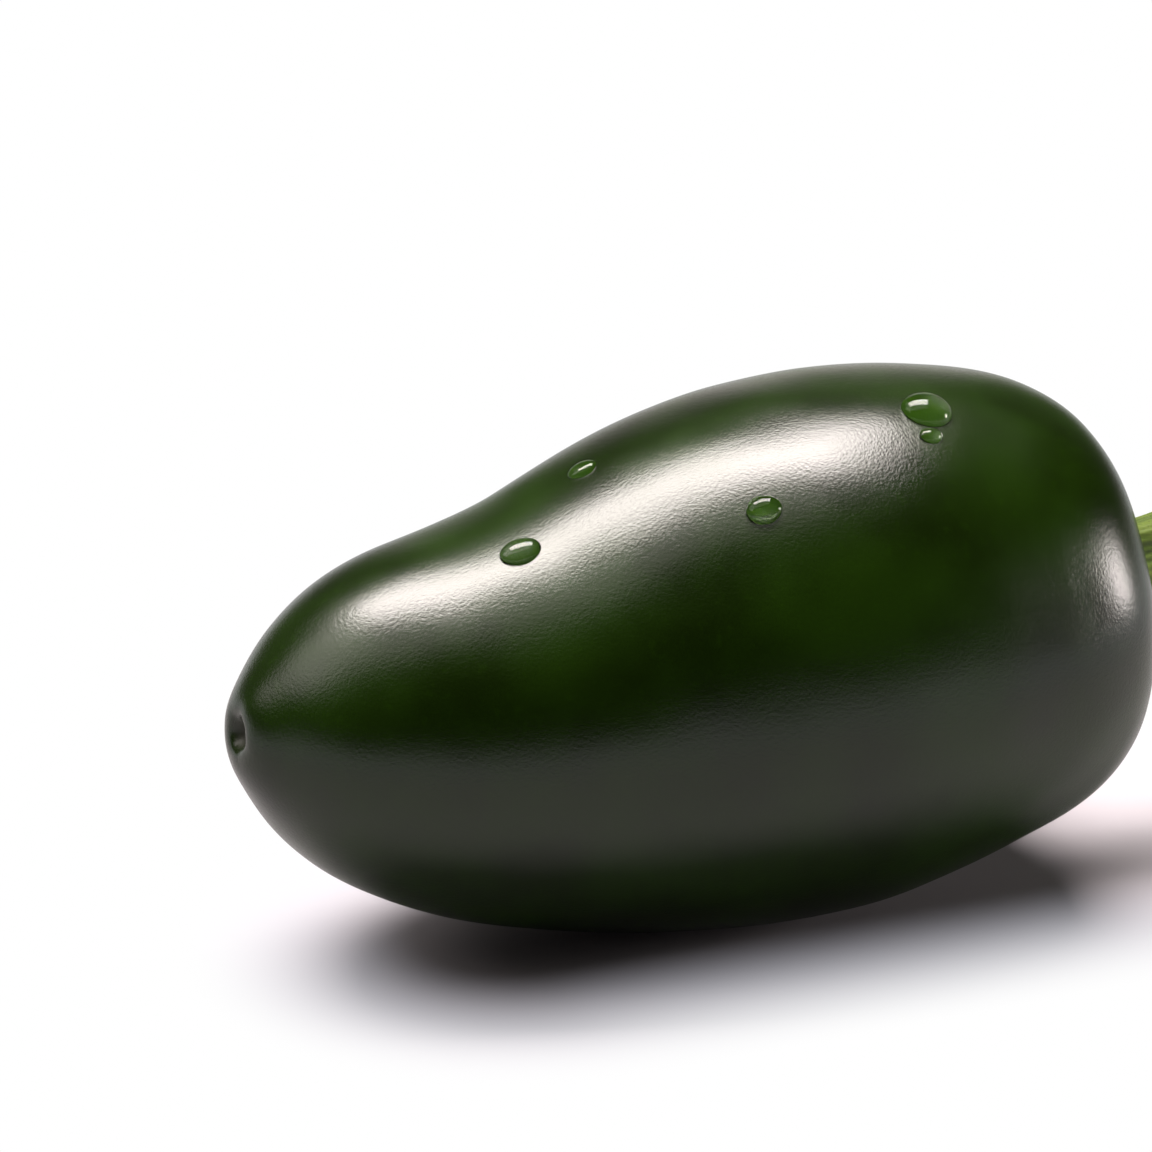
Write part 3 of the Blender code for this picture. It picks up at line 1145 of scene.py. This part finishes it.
def build_room(settings):
    """Plain white for the eye; for the light, soft windows, a wall at the back and a dim room in front."""
    world = bpy.data.worlds.new("studio")
    bpy.context.scene.world = world
    world.use_nodes = True
    tree = world.node_tree
    background = tree.nodes["Background"]
    background.inputs["Color"].default_value = (*WINDOW_COLOUR, 1.0)
    output = tree.nodes["World Output"]
    place = add(tree, "ShaderNodeTexCoord")
    split = add(tree, "ShaderNodeSeparateXYZ")
    behind = smooth_range(tree, *WALL_BACK)
    low = smooth_range(tree, *WALL_TOP, 1.0, 0.0)
    wall = calculate(tree, "MULTIPLY")
    level = add(tree, "ShaderNodeMapRange", To_Min=settings.dimness, To_Max=settings.backdrop)
    haze = smooth_range(tree, *HAZE_TOP, HAZE_GLOW, 0.0)
    total = calculate(tree, "MAXIMUM")
    white = add(tree, "ShaderNodeBackground", Color=(*WHITE, 1.0), Strength=1.0)
    seen = add(tree, "ShaderNodeLightPath")
    blend = add(tree, "ShaderNodeMixShader")
    join(
        tree,
        (place, "Generated", split, "Vector"),
        (split, "Y", behind, "Value"),
        (split, "Z", low, "Value"),
        (split, "Z", haze, "Value"),
        (behind, "Result", wall, 0),
        (low, "Result", wall, 1),
        (wall, "Value", level, "Value"),
        (level, "Result", total, 0),
        (haze, "Result", total, 1),
    )
    group = soft_window()
    for name, lean_x, lean_y, width, height, turn, softness, brightness in WINDOWS:
        centre, across, over = window_directions(lean_x, lean_y, turn)
        window = place_group(tree, group, Centre=centre, Across=across, Over=over)
        window.label = name
        for label, degrees in (("Width", width), ("Height", height), ("Softness", softness)):
            window.inputs[label].default_value = math.tan(math.radians(degrees))
        window.inputs["Brightness"].default_value = brightness * settings.key
        sum_so_far = total
        total = calculate(tree, "ADD")
        join(
            tree,
            (place, "Generated", window, "Vector"),
            (sum_so_far, 0, total, 0),
            (window, "Light", total, 1),
        )
    join(
        tree,
        (total, 0, background, "Strength"),
        (seen, "Is Camera Ray", blend, 0),
        (background, "Background", blend, 1),
        (white, "Background", blend, 2),
        (blend, "Shader", output, "Surface"),
    )
    bpy.context.scene.view_settings.view_transform = "Standard"


def build_camera(settings):
    data = bpy.data.cameras.new("camera")
    data.lens = settings.lens
    data.sensor_width = 36.0
    data.clip_start = 0.01
    data.clip_end = 20.0
    camera = bpy.data.objects.new("camera", data)
    bpy.context.scene.collection.objects.link(camera)
    turn, rise = settings.azimuth, settings.elevation
    back = Vector((math.sin(turn) * math.cos(rise), -math.cos(turn) * math.cos(rise), math.sin(rise)))
    camera.location = pod_point(settings.aim) + back * settings.distance
    camera.rotation_mode = "QUATERNION"
    camera.rotation_quaternion = (-back).to_track_quat("-Z", "Y")
    bpy.context.scene.camera = camera


# ---- operators and panel


class PEPPER_OT_pod(bpy.types.Operator):
    """Build the pod's skin"""

    bl_idname = "pepper.pod"
    bl_label = "Pod"

    def execute(self, context):
        build_pod(context.scene.pepper_pod)
        return {"FINISHED"}


class PEPPER_OT_calyx(bpy.types.Operator):
    """Build the calyx in the pod's hollow"""

    bl_idname = "pepper.calyx"
    bl_label = "Calyx"

    def execute(self, context):
        build_calyx(context.scene.pepper_calyx)
        return {"FINISHED"}


class PEPPER_OT_stem(bpy.types.Operator):
    """Build the ridged stem with its cut end"""

    bl_idname = "pepper.stem"
    bl_label = "Stem"

    def execute(self, context):
        build_stem(context.scene.pepper_stem)
        return {"FINISHED"}


class PEPPER_OT_drops(bpy.types.Operator):
    """Build the drops of water on the skin"""

    bl_idname = "pepper.drops"
    bl_label = "Water drops"

    def execute(self, context):
        settings = context.scene.pepper_water
        material = water_material(settings)
        for drop in DROPS:
            build_drop(*drop, settings, context.scene.pepper_pod, material)
        return {"FINISHED"}


class PEPPER_OT_stage(bpy.types.Operator):
    """Set up the surface, the lights, the room and the camera"""

    bl_idname = "pepper.stage"
    bl_label = "Stage"

    def execute(self, context):
        settings = context.scene.pepper_stage
        build_floor(settings)
        build_room(settings)
        build_camera(settings)
        return {"FINISHED"}


OPERATORS = (PEPPER_OT_pod, PEPPER_OT_calyx, PEPPER_OT_stem, PEPPER_OT_drops, PEPPER_OT_stage)
SETTINGS = {
    "pepper_pod": PodSettings,
    "pepper_calyx": CalyxSettings,
    "pepper_stem": StemSettings,
    "pepper_water": WaterSettings,
    "pepper_stage": StageSettings,
}


class PEPPER_PT_pieces(bpy.types.Panel):
    """Lists the pepper's pieces with their sizes and colours"""

    bl_idname = "PEPPER_PT_pieces"
    bl_label = "Jalapeno Pepper"
    bl_space_type = "VIEW_3D"
    bl_region_type = "UI"
    bl_category = "Pepper"

    def draw(self, context):
        for operator, (name, group) in zip(OPERATORS, SETTINGS.items()):
            box = self.layout.box()
            box.operator(operator.bl_idname)
            for key in group.__annotations__:
                box.prop(getattr(context.scene, name), key)


CLASSES = (*SETTINGS.values(), *OPERATORS, PEPPER_PT_pieces)


def register():
    for item in CLASSES:
        bpy.utils.register_class(item)
    for name, group in SETTINGS.items():
        setattr(bpy.types.Scene, name, PointerProperty(type=group))


def unregister():
    for name in SETTINGS:
        delattr(bpy.types.Scene, name)
    for item in reversed(CLASSES):
        bpy.utils.unregister_class(item)


def main():
    register()
    bpy.ops.pepper.pod()
    bpy.ops.pepper.calyx()
    bpy.ops.pepper.stem()
    bpy.ops.pepper.drops()
    bpy.ops.pepper.stage()


if __name__ == "__main__":
    main()
